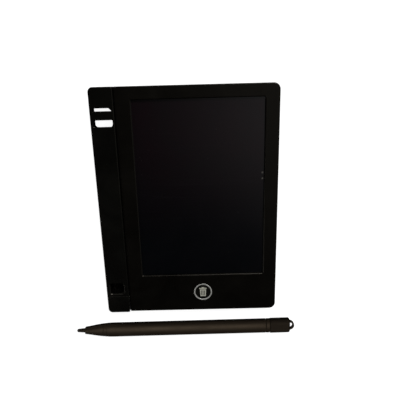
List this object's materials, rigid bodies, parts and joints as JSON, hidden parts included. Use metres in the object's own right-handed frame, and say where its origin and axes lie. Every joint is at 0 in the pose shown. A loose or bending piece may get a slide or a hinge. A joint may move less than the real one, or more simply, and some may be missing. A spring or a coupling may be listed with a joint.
{
  "type": "lcd writing tablet with stylus",
  "caption": "Pocket LCD writing tablet with a recessed writing film, a round erase button, a raised stylus rail on one side and a separate oval stylus with a lanyard loop.",
  "frame": {"origin": "on the tablet's back face, on the table, near that face's centre: 45.1 mm from the rail's outer side and 59.1 mm below the top edge", "axes": "+Z out of the writing film, +Y to the tablet's top edge, where the stylus goes in, and +X to the right as it is read, with the stylus rail on -X; the stylus lies on the table on the -Y side"},
  "size_m": [0.123, 0.1369, 0.0078],
  "materials": {
    "housing_plastic": "fine satin texture",
    "rail_plastic": "satin",
    "adhesive": "matt",
    "cover_film": "glossy",
    "lcd_laminate": "glossy",
    "foam": "matt",
    "support_plastic": "matt",
    "polyimide": "satin",
    "board_laminate": "satin",
    "switch_metal": "satin",
    "chip_plastic": "matt",
    "ceramic": "matt",
    "cell_steel": "satin",
    "contact_metal": "bright",
    "screw_steel": "black oxide",
    "button_plastic": "satin",
    "icon_ink": "satin",
    "trim_chrome": "satin",
    "plunger_plastic": "satin",
    "stylus_plastic": "semi-gloss",
    "nib_plastic": "satin"
  },
  "bodies": {
    "tablet": {"back_cover": "housing_plastic", "front_bezel": "housing_plastic", "rail_base": "rail_plastic", "rail_cover": "rail_plastic", "rail_end_cap": "rail_plastic", "display_gasket": "adhesive", "cover_film": "cover_film", "lcd_cell": "lcd_laminate", "foam_pad": "foam", "support_plate": "support_plastic", "flex_tail": "polyimide", "circuit_board": "board_laminate", "tact_switch": "switch_metal", "driver_chip": "chip_plastic", "smd_parts": "ceramic", "battery_cell": "cell_steel", "battery_positive_contact": "contact_metal", "battery_negative_contact": "contact_metal", "case_screws": "screw_steel", "board_screws": "screw_steel", "rail_screws": "screw_steel", "button_trim_ring": "trim_chrome"},
    "erase_button": {"button_cap": "button_plastic", "button_icon": "icon_ink"},
    "switch_plunger": {"switch_plunger": "plunger_plastic"},
    "battery_door": {"battery_door": "housing_plastic"},
    "battery_door_screw": {"battery_door_screw": "screw_steel"},
    "stylus": {"stylus_nib": "nib_plastic", "stylus_nose": "stylus_plastic", "stylus_barrel": "stylus_plastic", "stylus_trim_ring": "stylus_plastic", "stylus_tail_cap": "stylus_plastic", "stylus_lanyard_loop": "stylus_plastic"}
  },
  "joints": [
    {"name": "erase_button_press", "type": "slide", "parent": "tablet", "child": "erase_button", "axis": [0, 0, -1], "range_m": [0, 0.0005], "stiffness_N_per_m": 2500, "springref_m": -0.0001},
    {"name": "switch_plunger_press", "type": "slide", "parent": "tablet", "child": "switch_plunger", "axis": [0, 0, -1], "range_m": [0, 0.0005]},
    {"name": "battery_door_swing", "type": "hinge", "parent": "tablet", "child": "battery_door", "pos_m": [-0.0145, -0.0314, 0.0001], "axis": [1, 0, 0], "range_deg": [0, 60]},
    {"name": "battery_screw_turn", "type": "hinge", "parent": "battery_door", "child": "battery_door_screw", "pos_m": [-0.0244, -0.0539, 0.001], "axis": [0, 0, 1], "continuous": true},
    {"name": "stylus_lift", "type": "slide", "parent": "tablet", "child": "stylus", "axis": [0, 0, 1], "range_m": [0, 0.04]}
  ],
  "couplings": [
    {"joint": "switch_plunger_press", "follows": "erase_button_press", "ratio": 1}
  ]
}
